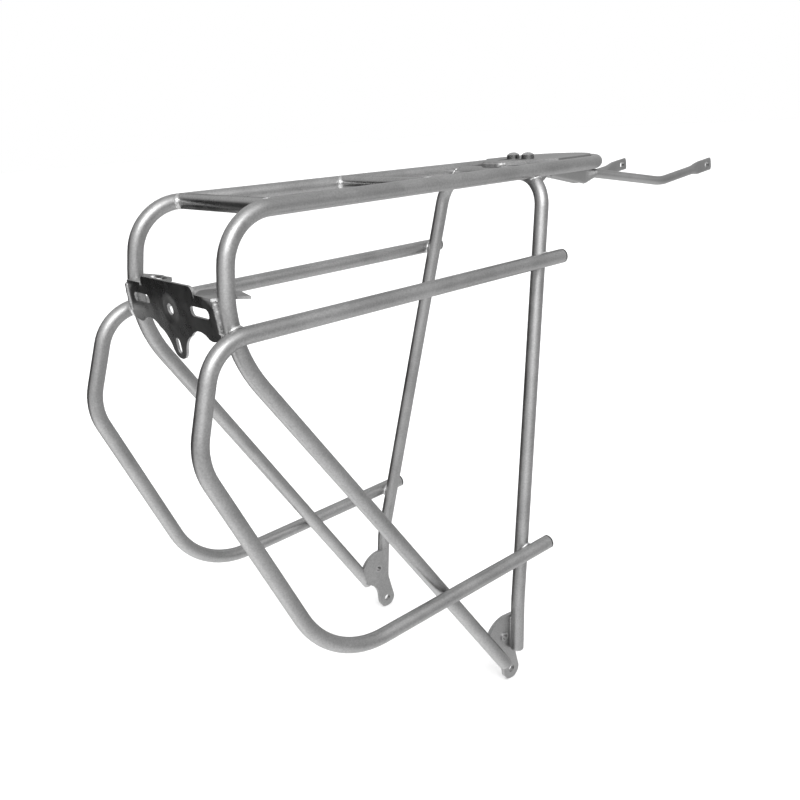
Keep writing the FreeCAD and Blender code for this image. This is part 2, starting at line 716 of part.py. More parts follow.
def make_stay_fasteners():
    """For each stay: domed bolt, washers above the plate and below the stay, and a nut."""
    plate_top = size("hoop_height") + tube_radius + size("plate_thickness")
    gap = size("stay_clearance")
    plate_underside = size("hoop_height") + tube_radius
    pad_bottom = plate_underside - gap - 2 * PAD_PROUD - size("stay_flat_thickness")
    for side in ("right", "left"):
        axis = Vector(size("bolt_reach"), sign_of(side) * size("bolt_half_gap"), 0)

        def at(height):
            return Placement(Vector(axis.x, axis.y, height), Rotation())

        for level, height in (
            ("upper", plate_top + gap),
            ("lower", pad_bottom - size("washer_thickness") - gap),
        ):
            label = "%s_%s_washer" % (side, level)
            ring = cylinder(label + "_disc", "Sizes.washer_diameter / 2", "Sizes.washer_thickness")
            hole = cylinder(label + "_hole", "Sizes.washer_bore / 2", "Sizes.washer_thickness")
            add_sub_part(label, boolean("Cut", label + "_body", ring, hole), at(height))

        label = side + "_stay_nut"
        hexagon = doc.addObject("Part::Prism", label + "_hexagon")
        hexagon.Polygon = 6
        hexagon.setExpression("Circumradius", "Sizes.nut_width / 2 / cos(30)")
        hexagon.setExpression("Height", "Sizes.nut_height")
        thread = cylinder(label + "_thread", "Sizes.bolt_diameter / 2 + 0.03", "Sizes.nut_height")
        nut_base = pad_bottom - size("washer_thickness") - size("nut_height") - 2 * gap
        add_sub_part(label, boolean("Cut", label + "_body", hexagon, thread), at(nut_base))

        label = side + "_stay_bolt"
        head_base = plate_top + size("washer_thickness") + 2 * gap
        shank_length = head_base - nut_base + 1.5
        shank = cylinder(label + "_shank", "Sizes.bolt_diameter / 2", str(shank_length))
        shank.Placement.Base.z = -shank_length
        dome = doc.addObject("Part::Sphere", label + "_dome")
        dome.setExpression("Radius", "Sizes.bolt_dome_radius")
        dome.setExpression("Placement.Base.z", "Sizes.bolt_head_height - Sizes.bolt_dome_radius")
        blank = cylinder(label + "_blank", "Sizes.bolt_head_diameter / 2", "Sizes.bolt_head_height")
        head = boolean("Common", label + "_head", dome, blank)
        solid = boolean("Fuse", label + "_solid", head, shank)
        socket = doc.addObject("Part::Prism", label + "_socket")
        socket.Polygon = 6
        socket.setExpression("Circumradius", "Sizes.bolt_socket_width / 2 / cos(30)")
        socket.Height = 2.0
        socket.setExpression("Placement.Base.z", "Sizes.bolt_head_height - 1.7")
        add_sub_part(label, boolean("Cut", label + "_body", solid, socket), at(head_base))


# ---------------------------------------------------------------- build and export
make_side_tubes()
make_front_bow()
make_leg_hoop()
make_pannier_tubes()
make_cross_tubes()
make_tube_plugs()
make_dropouts()
make_mudguard_bushes()
make_mounting_plate()
make_light_bracket()
make_stays()
make_stay_fasteners()
doc.recompute()

for item in doc.Objects:
    if "Invalid" in item.State or "Error" in item.State:
        raise RuntimeError("%s did not build: %s" % (item.Label, item.State))

os.makedirs("parts", exist_ok=True)
for part in sub_parts:
    shape = part.Shape
    if shape.isNull() or not shape.isValid():
        raise RuntimeError("%s has no valid shape" % part.Label)
    print("%-24s solids %d  volume %9.1f" % (part.Label, len(shape.Solids), shape.Volume))
    shape.exportStep("parts/%s.step" % part.Label)
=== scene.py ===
import math

import bpy
from mathutils import Matrix, Vector


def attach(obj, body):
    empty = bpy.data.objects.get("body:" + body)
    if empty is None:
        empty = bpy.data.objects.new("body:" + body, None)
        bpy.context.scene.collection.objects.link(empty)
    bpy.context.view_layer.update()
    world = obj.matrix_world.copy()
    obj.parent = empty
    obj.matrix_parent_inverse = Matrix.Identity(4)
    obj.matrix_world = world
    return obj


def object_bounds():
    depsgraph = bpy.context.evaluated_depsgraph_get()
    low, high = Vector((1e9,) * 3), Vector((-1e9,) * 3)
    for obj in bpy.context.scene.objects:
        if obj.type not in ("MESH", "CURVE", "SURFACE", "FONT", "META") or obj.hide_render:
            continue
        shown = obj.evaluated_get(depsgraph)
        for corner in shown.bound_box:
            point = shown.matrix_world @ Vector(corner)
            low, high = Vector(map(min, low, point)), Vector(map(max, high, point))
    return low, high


# Looks for a bicycle rear rack, in metres: +X to the front of the bicycle, +Y to its left, +Z up.

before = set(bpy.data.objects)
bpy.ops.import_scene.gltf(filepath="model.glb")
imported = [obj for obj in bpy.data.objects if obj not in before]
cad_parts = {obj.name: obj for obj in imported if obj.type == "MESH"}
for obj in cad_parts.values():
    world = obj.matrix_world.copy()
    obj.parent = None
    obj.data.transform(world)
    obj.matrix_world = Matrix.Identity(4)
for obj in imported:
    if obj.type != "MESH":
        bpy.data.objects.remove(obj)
cad_low, cad_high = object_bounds()
MM = 0.001


# ---------------------------------------------------------------- camera
CAMERA_PLACE = Vector((-0.419113, -0.483119, 0.406173))
CAMERA_HEADING = math.radians(51.166)
CAMERA_PITCH = math.radians(-17.787)
CAMERA_ROLL = math.radians(-3.745)
CAMERA_LENS = 39.896
SENSOR_WIDTH = 36.0


def make_camera():
    """The camera at the photograph's viewing angle, with no shift and no depth of field."""
    data = bpy.data.cameras.new("camera")
    data.lens = CAMERA_LENS
    data.sensor_width = SENSOR_WIDTH
    data.clip_start = 0.01
    camera = bpy.data.objects.new("camera", data)
    forward = Vector((
        math.cos(CAMERA_HEADING) * math.cos(CAMERA_PITCH),
        math.sin(CAMERA_HEADING) * math.cos(CAMERA_PITCH),
        math.sin(CAMERA_PITCH),
    ))
    level = forward.to_track_quat("-Z", "Y").to_matrix().to_4x4()
    roll = Matrix.Rotation(CAMERA_ROLL, 4, "Z")
    camera.matrix_world = Matrix.Translation(CAMERA_PLACE) @ level @ roll
    bpy.context.scene.collection.objects.link(camera)
    bpy.context.scene.camera = camera


# ---------------------------------------------------------------- node helpers
class Nodes:
    """A short way to write a node tree: sockets are passed in as values or as other sockets."""

    def __init__(self, tree):
        self.tree = tree
        tree.nodes.clear()

    def add(self, kind, inputs=None, **settings):
        """Add a node, set its properties, and set or link its inputs."""
        node = self.tree.nodes.new(kind)
        for name, value in settings.items():
            setattr(node, name, value)
        for name, value in (inputs or {}).items():
            self.feed(node.inputs[name], value)
        return node

    def feed(self, socket, value):
        """Link a socket, or set its constant."""
        if isinstance(value, bpy.types.NodeSocket):
            self.tree.links.new(value, socket)
        else:
            socket.default_value = value

    def math(self, operation, first, second=0.0):
        """One arithmetic step."""
        return self.add("ShaderNodeMath", {0: first, 1: second}, operation=operation).outputs[0]

    def ramp(self, value, low, high, to_low=0.0, to_high=1.0, smooth=True):
        """A value mapped from one range to another and held at both ends."""
        kind = "SMOOTHSTEP" if smooth else "LINEAR"
        inputs = {
            "Value": value,
            "From Min": low,
            "From Max": high,
            "To Min": to_low,
            "To Max": to_high,
        }
        return self.add("ShaderNodeMapRange", inputs, interpolation_type=kind).outputs["Result"]

    def noise(self, place, scale, detail=2.0, roughness=0.5):
        """Noise with features about 1/scale metres across."""
        inputs = {"Vector": place, "Scale": scale, "Detail": detail, "Roughness": roughness}
        return self.add("ShaderNodeTexNoise", inputs).outputs["Fac"]

    def stretched(self, place, scale):
        """Coordinates scaled by a different amount on each axis."""
        return self.add("ShaderNodeMapping", {"Vector": place, "Scale": scale}).outputs["Vector"]

    def mix_grey(self, share, dark, light):
        """A grey between two greys."""
        node = self.add("ShaderNodeMix", data_type="RGBA")
        self.feed(node.inputs[0], share)
        self.feed(node.inputs[6], (dark, dark, dark, 1.0))
        self.feed(node.inputs[7], (light, light, light, 1.0))
        return node.outputs[2]

    def blend(self, share, first, second):
        """A value part of the way from one value to another."""
        node = self.add("ShaderNodeMix", data_type="FLOAT")
        self.feed(node.inputs[0], share)
        self.feed(node.inputs[2], first)
        self.feed(node.inputs[3], second)
        return node.outputs[0]

    def multiply_add(self, value, factor, added):
        """A value times a constant, plus a constant."""
        result = self.math("MULTIPLY_ADD", value, factor)
        result.node.inputs[2].default_value = added
        return result

    def grey(self, value):
        """A colour whose three parts are one value."""
        inputs = {"Red": value, "Green": value, "Blue": value}
        return self.add("ShaderNodeCombineColor", inputs).outputs[0]

    def compare(self, operation, vector, constant):
        """The dot product of a vector with a constant one, or the distance between them."""
        inputs = {0: vector, 1: tuple(constant)}
        node = self.add("ShaderNodeVectorMath", inputs, operation=operation)
        return node.outputs["Value"]

    def bump(self, height, strength, distance):
        """A surface normal disturbed by a height."""
        inputs = {"Height": height, "Strength": strength, "Distance": distance}
        return self.add("ShaderNodeBump", inputs).outputs["Normal"]

    def principled(self, **inputs):
        """The surface shader, joined to the material output."""
        named = {name.replace("_", " "): value for name, value in inputs.items()}
        shader = self.add("ShaderNodeBsdfPrincipled", named)
        self.add("ShaderNodeOutputMaterial", {"Surface": shader.outputs["BSDF"]})


def new_material(name):
    """An empty node material and its helper."""
    material = bpy.data.materials.new(name)
    material.use_nodes = True
    return material, Nodes(material.node_tree)


# ---------------------------------------------------------------- materials
# Sizes of the noise on blasted steel, in features per metre, and the depth of its grain.
GRAIN_SCALE = 850.0
FINE_GRAIN_SCALE = 3200.0
SMUDGE_SCALE = 28.0
GRAIN_DEPTH = 0.03 * MM
# Rubbed marks are long along the rack, a little brighter and a little smoother.
RUB_SCALES = (60.0, 420.0, 420.0)
RUB_BRIGHTENING = 0.10
RUB_POLISH = 0.08


def blasted_steel(name, grey, roughness, grain=0.10, smudge=0.07, scratches=0.5):
    """Bead-blasted stainless steel: fine grain, soft smudges and a few rubbed marks."""
    material, nodes = new_material(name)
    place = nodes.add("ShaderNodeTexCoord").outputs["Object"]
    grains = nodes.noise(place, GRAIN_SCALE, detail=3.0, roughness=0.7)
    fine_grains = nodes.noise(place, FINE_GRAIN_SCALE, detail=1.0)
    smudges = nodes.noise(place, SMUDGE_SCALE, detail=4.0, roughness=0.6)
    rubs = nodes.noise(nodes.stretched(place, RUB_SCALES), 1.0, detail=3.0, roughness=0.7)
    rubbed = nodes.ramp(rubs, 0.62, 0.78)
    grain_share = nodes.ramp(grains, 0.25, 0.75, smooth=False)
    smudge_share = nodes.ramp(smudges, 0.3, 0.7)
    low = grey * (1.0 - grain)
    high = grey * (1.0 + grain)
    tone = nodes.multiply_add(grain_share, high - low, low)
    smudging = nodes.ramp(smudge_share, 0.0, 1.0, 1.0 - smudge, 1.0 + smudge)
    tone = nodes.math("MULTIPLY", tone, smudging)
    rubbing = nodes.ramp(rubbed, 0.0, 1.0, 1.0, 1.0 + RUB_BRIGHTENING * scratches)
    tone = nodes.math("MULTIPLY", tone, rubbing)
    colour = nodes.grey(tone)
    gloss = nodes.ramp(smudge_share, 0.0, 1.0, roughness - 0.04, roughness + 0.05)
    gloss = nodes.math("SUBTRACT", gloss, nodes.math("MULTIPLY", rubbed, RUB_POLISH * scratches))
    coarse = nodes.math("MULTIPLY", grains, 0.7)
    fine = nodes.math("MULTIPLY", fine_grains, 0.3)
    height = nodes.math("ADD", coarse, fine)
    normal = nodes.bump(height, 0.55, GRAIN_DEPTH)
    nodes.principled(Base_Color=colour, Metallic=1.0, Roughness=gloss, Normal=normal)
    return material


# The tone of a fastener's flanks, painted darker as shade, as a share of the tone of its
# upward-facing top.
PAINTED_FLANK_SHADE = 0.42


def machined_steel(name, grey, roughness, flank_painted_shade=1.0):
    """Turned stainless steel: fine rings about the upright axis, small marks, and flanks painted
    darker than the top as shade.
    """
    material, nodes = new_material(name)
    place = nodes.add("ShaderNodeTexCoord").outputs["Object"]
    rings = nodes.noise(nodes.stretched(place, (300.0, 300.0, 5000.0)), 1.0, detail=2.0)
    marks = nodes.noise(place, 600.0, detail=4.0, roughness=0.7)
    facing = nodes.add("ShaderNodeNewGeometry").outputs["True Normal"]
    upward = nodes.add("ShaderNodeSeparateXYZ", {"Vector": facing}).outputs["Z"]
    # Painted shade: faces that turn from straight up to sideways get a darker colour, down to the
    # flank share.
    painted_flank_share = nodes.ramp(upward, 0.45, 0.90, flank_painted_shade, 1.0)
    share = nodes.math("MULTIPLY", nodes.ramp(marks, 0.3, 0.7, 0.85, 1.0), painted_flank_share)
    colour = nodes.mix_grey(share, 0.0, grey * 1.08)
    gloss = nodes.ramp(marks, 0.3, 0.7, roughness - 0.05, roughness + 0.08)
    height = nodes.math("ADD", rings, nodes.math("MULTIPLY", marks, 0.6))
    normal = nodes.bump(height, 0.35, 0.02 * MM)
    nodes.principled(Base_Color=colour, Metallic=1.0, Roughness=gloss, Normal=normal)
    return material


SHEET_TILT = math.radians(5.7)
BRACKET_MIDDLE = Vector((-199.2, 0.0, 312.7)) * MM
LAMP_HOLE = Vector((-197.8, 0.0, 306.3)) * MM
# How far the shading bends back at the welded corners and round the lamp hole.
CORNER_CURL = 4.5
HOLE_DISH = 4.0


def painted_dark_reflection_share(nodes):
    """The share of painted dark reflection: full on the bracket's faces, part on the flats of its
    ears, none on its cut edges.
    """
    facing = nodes.add("ShaderNodeNewGeometry").outputs["True Normal"]
    sheet_way = (math.cos(SHEET_TILT), 0.0, -math.sin(SHEET_TILT))
    across = nodes.compare("DOT_PRODUCT", facing, sheet_way)
    upward = nodes.add("ShaderNodeSeparateXYZ", {"Vector": facing}).outputs["Z"]
    on_face = nodes.ramp(nodes.math("ABSOLUTE", across), 0.90, 0.97)
    on_ear = nodes.ramp(nodes.math("ABSOLUTE", upward), 0.97, 0.995, 0.0, 0.45)
    return nodes.math("MAXIMUM", on_face, on_ear)


def bracket_sheen_and_wear(nodes, place):
    """How much lighter the sheet is painted towards its upper outer corners, as a painted
    reflection, and how bare it is worn round the lamp hole.
    """
    spot = nodes.add("ShaderNodeSeparateXYZ", {"Vector": place})
    outboard = nodes.math("ABSOLUTE", spot.outputs["Y"])
    above = nodes.multiply_add(spot.outputs["Z"], 2.0, -2.0 * BRACKET_MIDDLE.z)
    # Painted reflection: the sheet turns lighter towards its upper outer corners.
    corner = nodes.ramp(nodes.math("ADD", outboard, above), 52 * MM, 70 * MM, 0.0, 0.85)
    from_hole = nodes.compare("DISTANCE", place, LAMP_HOLE)
    rubbed = nodes.ramp(from_hole, 11 * MM, 4 * MM, 0.0, 0.22)
    return corner, rubbed


def bracket_steel(name):
    """Polished sheet whose faces are painted dark as a painted reflection, light at its cut edges,
    painted lighter at its welded corners, and worn lighter round the lamp hole.
    """
    material, nodes = new_material(name)
    place = nodes.add("ShaderNodeTexCoord").outputs["Object"]
    dark_reflection_share = painted_dark_reflection_share(nodes)
    corner, rubbed = bracket_sheen_and_wear(nodes, place)
    not_sheened_or_worn = nodes.math("SUBTRACT", 1.0, nodes.math("MAXIMUM", corner, rubbed))
    # Painted shade: the faces take the darker grey as a painted dark reflection, except at the
    # painted-light corners and the worn hole.
    dark = nodes.math("MULTIPLY", dark_reflection_share, not_sheened_or_worn)
    smudges = nodes.noise(place, 70.0, detail=4.0, roughness=0.65)
    brushed = nodes.noise(nodes.stretched(place, (900.0, 120.0, 3000.0)), 1.0, detail=2.0)
    grains = nodes.noise(place, 1500.0, detail=3.0, roughness=0.7)
    # The faces' grey is the painted dark reflection; the cut edges keep the lighter grey.
    face_grey = nodes.ramp(smudges, 0.3, 0.7, 0.30, 0.38)
    edge_grey = nodes.ramp(grains, 0.3, 0.7, 0.42, 0.58)
    colour = nodes.grey(nodes.blend(dark, edge_grey, face_grey))
    face_gloss = nodes.ramp(smudges, 0.25, 0.75, 0.24, 0.33)
    edge_gloss = nodes.ramp(grains, 0.3, 0.7, 0.42, 0.5)
    gloss = nodes.blend(dark, edge_gloss, face_gloss)
    height = nodes.math("MULTIPLY", nodes.math("ADD", brushed, grains), 0.5)
    fine_normal = nodes.bump(height, 0.25, 0.02 * MM)
    waves = nodes.noise(place, 45.0, detail=1.0)
    curl = nodes.math("MULTIPLY", corner, CORNER_CURL)
    dish = nodes.math("MULTIPLY", rubbed, HOLE_DISH)
    relief = nodes.math("SUBTRACT", waves, nodes.math("ADD", curl, dish))
    inputs = {"Height": relief, "Strength": 0.8, "Distance": 1.0 * MM, "Normal": fine_normal}
    normal = nodes.add("ShaderNodeBump", inputs).outputs["Normal"]
    nodes.principled(Base_Color=colour, Metallic=1.0, Roughness=gloss, Normal=normal)
    return material


def black_plastic(name):
    """Moulded black plastic with a fine texture and dusty smudges."""
    material, nodes = new_material(name)
    place = nodes.add("ShaderNodeTexCoord").outputs["Object"]
    texture = nodes.noise(place, 2200.0, detail=2.0)
    dust = nodes.noise(place, 260.0, detail=4.0, roughness=0.7)
    colour = nodes.mix_grey(nodes.ramp(dust, 0.45, 0.8), 0.018, 0.045)
    gloss = nodes.ramp(dust, 0.3, 0.7, 0.42, 0.58)
    normal = nodes.bump(texture, 0.4, 0.03 * MM)
    nodes.principled(Base_Color=colour, Roughness=gloss, Normal=normal)
    return material


def floor_paper(name):
    """Plain pale studio paper with a faint tooth."""
    material, nodes = new_material(name)
    place = nodes.add("ShaderNodeTexCoord").outputs["Object"]
    fibres = nodes.noise(place, 900.0, detail=2.0)
    colour = nodes.mix_grey(fibres, 0.87, 0.89)
    normal = nodes.bump(fibres, 0.05, 0.05 * MM)
    nodes.principled(Base_Color=colour, Roughness=0.9, Normal=normal)
    return material


def finish_for_nodes():
    """Every CAD node's material, by the end of its name."""
    tube_steel = blasted_steel("blasted_tube_steel", 0.445, 0.38, grain=0.20)
    cross_tube_steel = blasted_steel("blasted_cross_tube_steel", 0.43, 0.25, grain=0.20)
    dropout_steel = blasted_steel("blasted_dropout_steel", 0.44, 0.42, grain=0.20)
    plate_steel = blasted_steel("blasted_plate_steel", 0.385, 0.42, grain=0.20)
    stay_steel = blasted_steel("stay_steel", 0.40, 0.34, grain=0.07, scratches=1.0)
    fastener = machined_steel("fastener_steel", 0.55, 0.24, PAINTED_FLANK_SHADE)
    bush_steel = machined_steel("bush_steel", 0.50, 0.32)
    bracket = bracket_steel("bracket_sheet_steel")
    plug = black_plastic("plug_plastic")
    by_ending = {
        "_cross_tube": cross_tube_steel,
        "_tube": tube_steel,
        "_bow": tube_steel,
        "_hoop": tube_steel,
        "_dropout": dropout_steel,
        "_plate": plate_steel,
        "_bush": bush_steel,
        "_washer": fastener,
        "_nut": fastener,
        "_bolt": fastener,
        "_stay": stay_steel,
        "_bracket": bracket,
        "_plug": plug,
    }
    for name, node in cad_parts.items():
        material = next(finish for ending, finish in by_ending.items() if name.endswith(ending))
        if not node.material_slots:
            node.data.materials.append(material)
        for slot in node.material_slots:
            slot.material = material


# ---------------------------------------------------------------- tube centre lines
TUBE_RADIUS = 5.0 * MM
PLATFORM_HEIGHT = 362.5 * MM
SIDES = {"right": -1, "left": 1}


def points_mm(*rows):
    """Points given in millimetres, in metres."""
    return [Vector(row) * MM for row in rows]


# Corners of the right-hand centre lines, and the bend radius at each inner corner.
SIDE_TUBE = points_mm(
    (133.6, -39.5, 362.5),
    (-185.9, -56.0, 362.5),
    (-196.4, -59.5, 292.0),
    (-10.4, -80.0, 11.5),
)
SIDE_TUBE_BENDS = [33.0 * MM, 85.0 * MM]
LEG = points_mm(
    (73.6, 0.0, 360.5),
    (73.6, -50.0, 360.5),
    (5.6, -79.5, 57.5),
    (2.1, -80.6, 17.9),
)
LEG_BENDS = [26.0 * MM, 30.0 * MM]
PANNIER = points_mm(
    (73.6, -65.6, 303.0),
    (-209.9, -69.2, 298.0),
    (-228.9, -72.6, 237.0),
    (-165.4, -85.0, 88.5),
    (31.6, -86.0, 98.5),
)
PANNIER_BENDS = [29.0 * MM, 40.0 * MM, 58.0 * MM]
CROSS_TUBE_STATIONS = {"rear": -155.9 * MM, "middle": -31.9 * MM}
LINE_STEP = 0.5 * MM
ARC_STEPS = 40
# How two lines are searched for their nearest points: every so many points, then round the best.
SEARCH_STRIDE = 6
SEARCH_REACH = 8


def spread(start, end, steps):
    """Evenly spaced values from one to another, both included."""
    return [start + (end - start) * step / steps for step in range(steps + 1)]


def bent_line(corners, bends):
    """Closely spaced points along straight runs joined by arcs."""
    turns = [corners[0]]
    for before, corner, after, bend in zip(corners, corners[1:], corners[2:], bends):
        back = (before - corner).normalized()
        ahead = (after - corner).normalized()
        half_angle = back.angle(ahead) / 2
        centre = corner + (back + ahead).normalized() * (bend / math.sin(half_angle))
        trim = bend / math.tan(half_angle)
        outward = (corner + back * trim - centre).normalized()
        for angle in spread(0.0, math.pi - 2 * half_angle, ARC_STEPS):
            turns.append(centre + (outward * math.cos(angle) - back * math.sin(angle)) * bend)
    turns.append(corners[-1])
    points = []
    for start, end in zip(turns, turns[1:]):
        count = max(1, round((end - start).length / LINE_STEP))
        points += [start.lerp(end, step / count) for step in range(count)]
    points.append(turns[-1])
    return points


def on_side(points, side):
    """Right-hand points, or their mirror image."""
    return [Vector((point.x, -SIDES[side] * point.y, point.z)) for point in points]


def nearest_approach(first, second):
    """Where two centre lines pass closest: a point and a direction on each."""

    def nearest(indices, others):
        pairs = ((i, j) for i in indices for j in others)
        return min(pairs, key=lambda pair: (first[pair[0]] - second[pair[1]]).length_squared)

    def around(index, points):
        return range(max(0, index - SEARCH_REACH), min(len(points), index + SEARCH_REACH + 1))

    coarse_indices = range(0, len(first), SEARCH_STRIDE)
    coarse_others = range(0, len(second), SEARCH_STRIDE)
    i, j = nearest(coarse_indices, coarse_others)
    i, j = nearest(around(i, first), around(j, second))
    return first[i], direction_at(first, i), second[j], direction_at(second, j)


def direction_at(points, index):
    """The run of a line of points at one of them."""
    low = max(0, index - 2)
    high = min(len(points) - 1, index + 2)
    return (points[high] - points[low]).normalized()


# ---------------------------------------------------------------- weld beads
BEAD_RADIUS = 1.0 * MM
POST_BEAD_RADIUS = 1.4 * MM
SEAM_RADIUS = 0.85 * MM
BEAD_SIDES = 10
# A bead swells once per ripple, and drifts in thickness out of step with the ripples.
RIPPLE_PITCH = 1.5 * MM
RIPPLE_DEPTH = 0.14 * MM
RIPPLE_DRIFT = 0.08 * MM
DRIFT_RATE = 1.7
STEPS_PER_RIPPLE = 5
# An open bead thins to a blunt point over its last steps.
TAPER_STEPS = 6
BLUNTNESS = 0.05


def even_points(points, step, closed):
    """The same line with its points a given step apart."""
    ring = points + [points[0]] if closed else points
    lengths = [(b - a).length for a, b in zip(ring, ring[1:])]
    total = sum(lengths)
    count = max(4, round(total / step))
    result = []
    index = 0
    covered = 0.0
    for number in range(count if closed else count + 1):
        target = total * number / count
        while index < len(lengths) - 1 and covered + lengths[index] < target:
            covered += lengths[index]
            index += 1
        share = (target - covered) / max(lengths[index], 1e-9)
        result.append(ring[index].lerp(ring[index + 1], min(max(share, 0.0), 1.0)))
    return result


def bead_faces(count, closed):
    """The faces of a tube of the given number of rings, joined end to start or capped."""
    faces = []
    for index in range(count if closed else count - 1):
        following = (index + 1) % count
        for corner in range(BEAD_SIDES):
            turned = (corner + 1) % BEAD_SIDES
            faces.append((
                index * BEAD_SIDES + corner,
                index * BEAD_SIDES + turned,
                following * BEAD_SIDES + turned,
                following * BEAD_SIDES + corner,
            ))
    if not closed:
        faces.append(tuple(reversed(range(BEAD_SIDES))))
        faces.append(tuple((count - 1) * BEAD_SIDES + corner for corner in range(BEAD_SIDES)))
    return faces


def bead_mesh(points, radius, closed):
    """Vertices and faces of a rippled weld bead along a line, of a fixed or varying radius."""
    line = even_points(points, RIPPLE_PITCH / STEPS_PER_RIPPLE, closed)
    count = len(line)
    vertices = []
    travelled = 0.0
    side_way = None
    for index, point in enumerate(line):
        before = line[index - 1] if closed or index else point
        after = line[(index + 1) % count] if closed or index < count - 1 else point
        forward = (after - before).normalized()
        if side_way is None:
            side_way = forward.orthogonal().normalized()
        side_way = (side_way - forward * side_way.dot(forward)).normalized()
        up_way = forward.cross(side_way)
        if index:
            travelled += (point - line[index - 1]).length
        wave = (travelled / RIPPLE_PITCH) % 1.0
        swell = radius(point) if callable(radius) else radius
        swell += RIPPLE_DEPTH * (math.sqrt(wave) - 0.5)
        swell += RIPPLE_DRIFT * math.sin(travelled / RIPPLE_PITCH * DRIFT_RATE)
        if not closed:
            from_end = min(index, count - 1 - index) / TAPER_STEPS
            swell *= math.sqrt(min(1.0, from_end + BLUNTNESS))
        for corner in range(BEAD_SIDES):
            angle = 2 * math.pi * corner / BEAD_SIDES
            offset = side_way * math.cos(angle) + up_way * math.sin(angle)
            vertices.append(point + offset * swell)
    return vertices, bead_faces(count, closed)


def add_beads(name, lines, material):
    """One named weld piece made of one or more beads: each is (points, closed, radius)."""
    vertices = []
    faces = []
    for points, closed, radius in lines:
        more, their_faces = bead_mesh(points, radius, closed)
        faces += [tuple(corner + len(vertices) for corner in face) for face in their_faces]
        vertices += more
    mesh = bpy.data.meshes.new(name)
    mesh.from_pydata([tuple(vertex) for vertex in vertices], [], faces)
    mesh.polygons.foreach_set("use_smooth", [True] * len(mesh.polygons))
    mesh.materials.append(material)
    piece = bpy.data.objects.new(name, mesh)
    bpy.context.scene.collection.objects.link(piece)
    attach(piece, "frame")


RING_STEPS = 48
# How far apart the tubes' skins are where a bead lies, and the least that is left of it
# where the tubes stand apart; then the least curve, which keeps the ring from running away.
CREVICE_GAP = 1.7 * MM
LEAST_GAP = 0.4 * MM
LEAST_CURVE = 0.25


def crossing_ring(first, second):
    """The bead line round the spot where two crossing tubes touch."""
    place_a, way_a, place_b, way_b = nearest_approach(first, second)
    middle = (place_a + place_b) / 2
    apart = (place_b - place_a).normalized()
    spare = (place_b - place_a).length - 2 * TUBE_RADIUS
    east = way_a
    north = apart.cross(east).normalized()
    turn = math.atan2(way_b.dot(north), way_b.dot(east))
    room = max(CREVICE_GAP - spare, LEAST_GAP)
    points = []
    for step in range(RING_STEPS):
        angle = 2 * math.pi * step / RING_STEPS
        curve = math.sin(angle) ** 2 + math.sin(angle - turn) ** 2
        reach = math.sqrt(2 * TUBE_RADIUS * room / max(curve, LEAST_CURVE))
        twist = math.sin(angle) ** 2 - math.sin(angle - turn) ** 2
        lift = twist * reach * reach / (4 * TUBE_RADIUS)
        outward = east * math.cos(angle) + north * math.sin(angle)
        points.append(middle + outward * reach - apart * lift)
    return points


def rail_point(x):
    """The right rail's centre line at a station x."""
    front = SIDE_TUBE[0]
    rear = SIDE_TUBE[1]
    return front.lerp(rear, (front.x - x) / (front.x - rear.x))


def saddle_line(x, side):
    """Where a cross tube's surface runs into the rail's."""
    on_rail = rail_point(x)
    rail_way = (SIDE_TUBE[0] - SIDE_TUBE[1]).normalized()
    inward = Vector((0, 1, 0))
    flat_way = inward - rail_way * inward.dot(rail_way)
    points = []
    for step in range(RING_STEPS):
        angle = 2 * math.pi * step / RING_STEPS
        offset = TUBE_RADIUS * Vector((math.cos(angle), 0, math.sin(angle)))
        flat_offset = offset - rail_way * offset.dot(rail_way)
        # the step inward at which the point is a tube radius from the rail's axis:
        # the larger root of a quadratic
        squared = flat_way.length_squared
        linear = 2 * flat_offset.dot(flat_way)
        constant = flat_offset.length_squared - TUBE_RADIUS**2
        root = math.sqrt(max(linear * linear - 4 * squared * constant, 0.0))
        points.append(on_rail + offset + inward * ((root - linear) / (2 * squared)))
    return on_side(points, side)


# The least radius of a saddle's bead, and how much thicker it is on the flanks.
SADDLE_THIN = 0.1 * MM
SADDLE_SWELL = 2.3 * MM


def saddle_radius(point):
    """Thick on the flanks of a cross tube, thin above and below, where it meets the rail flush."""
    rise = abs(point.z - PLATFORM_HEIGHT) / TUBE_RADIUS
    return SADDLE_THIN + SADDLE_SWELL * max(1.0 - rise * rise, 0.0)


def stretch(line, low, high):
    """The part of a line between two heights in millimetres."""
    return [point for point in line if low * MM < point.z < high * MM]


def make_tube_welds(material):
    """Beads where tubes meet tubes."""
    side_line = bent_line(SIDE_TUBE, SIDE_TUBE_BENDS)
    post_line = stretch(side_line, 270, 340)
    leg_line = bent_line(LEG, LEG_BENDS)
    upper_leg = stretch(leg_line, 280, 330)
    lower_leg = stretch(leg_line, 70, 130)
    pannier_line = bent_line(PANNIER, PANNIER_BENDS)
    upper_run = stretch(pannier_line, 270, 400)
    lower_run = stretch(pannier_line, 0, 120)
    contacts = {
        "post_weld": crossing_ring(post_line, upper_run),
        "upper_leg_weld": crossing_ring(upper_leg, upper_run),
        "lower_leg_weld": crossing_ring(lower_leg, lower_run),
    }
    for side in SIDES:
        for name, points in contacts.items():
            radius = POST_BEAD_RADIUS if name == "post_weld" else BEAD_RADIUS
            add_beads("%s_%s" % (side, name), [(on_side(points, side), True, radius)], material)
        for place, x in CROSS_TUBE_STATIONS.items():
            lines = [(saddle_line(x, side), True, saddle_radius)]
            add_beads("%s_%s_cross_weld" % (side, place), lines, material)
        add_beads(side + "_hoop_weld", hoop_lines(leg_line, side), material)


# The hoop's seams are looked for above this height, over this much of its skin to each side.
HOOP_SEARCH_FLOOR = 330 * MM
HOOP_SEARCH_ANGLE = 100
HOOP_SEARCH_STEPS = 24


